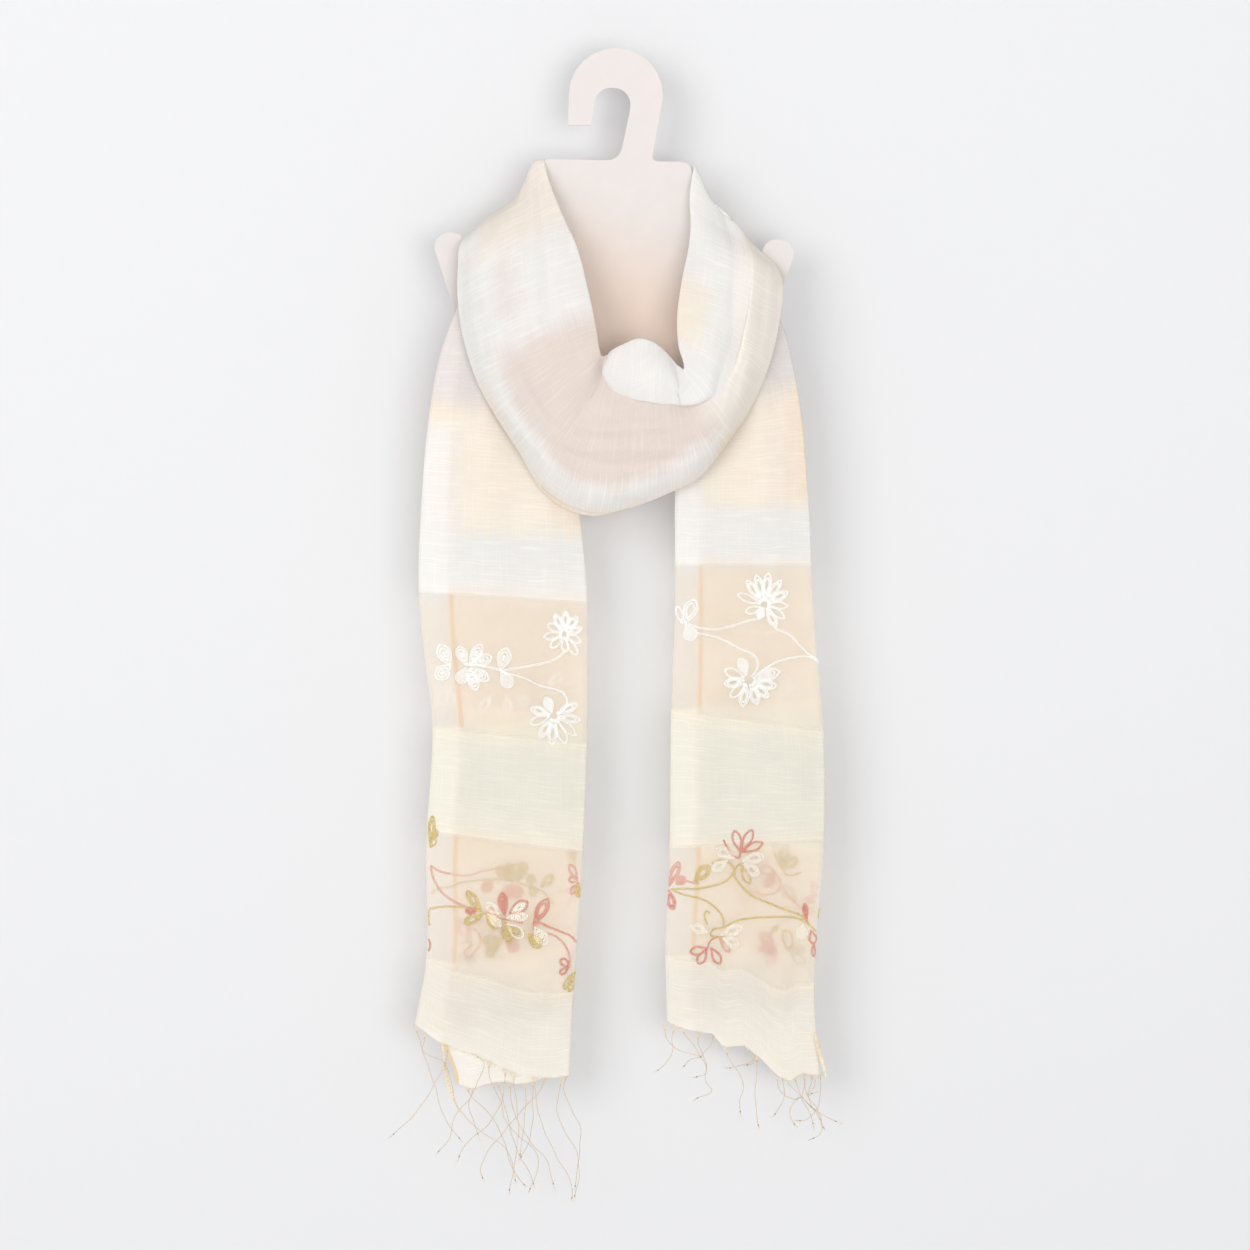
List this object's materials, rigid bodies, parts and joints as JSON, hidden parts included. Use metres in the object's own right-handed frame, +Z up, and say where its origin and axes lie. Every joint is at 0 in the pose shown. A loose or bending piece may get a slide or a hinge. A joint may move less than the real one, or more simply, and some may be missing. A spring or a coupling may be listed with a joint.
{
  "type": "evening stole on a hanger",
  "caption": "Sheer cream evening stole with embroidered ends and knotted fringe, draped as a cowl on a flat hanger.",
  "frame": {"origin": "where a rod carries the hanger: the top of the hook's inner arc, in the middle of the plate's thickness", "axes": "+Z up along the hanging length, +X to the wearer's left as seen from the front (right of the view), the front faces -Y"},
  "size_m": [0.3286, 0.0721, 0.8323],
  "materials": {
    "cloth": "sheer slubbed cream weave, lightly checked",
    "strands": "thin twisted tan threads",
    "hanger": "matt pale pink card"
  },
  "bodies": {
    "root": {"hanger": "hanger", "cowl": "cloth", "back_inner": "cloth", "back_outer": "cloth", "tail_left": "cloth", "tail_right": "cloth", "fringe_left": "strands", "fringe_right": "strands"}
  },
  "joints": []
}
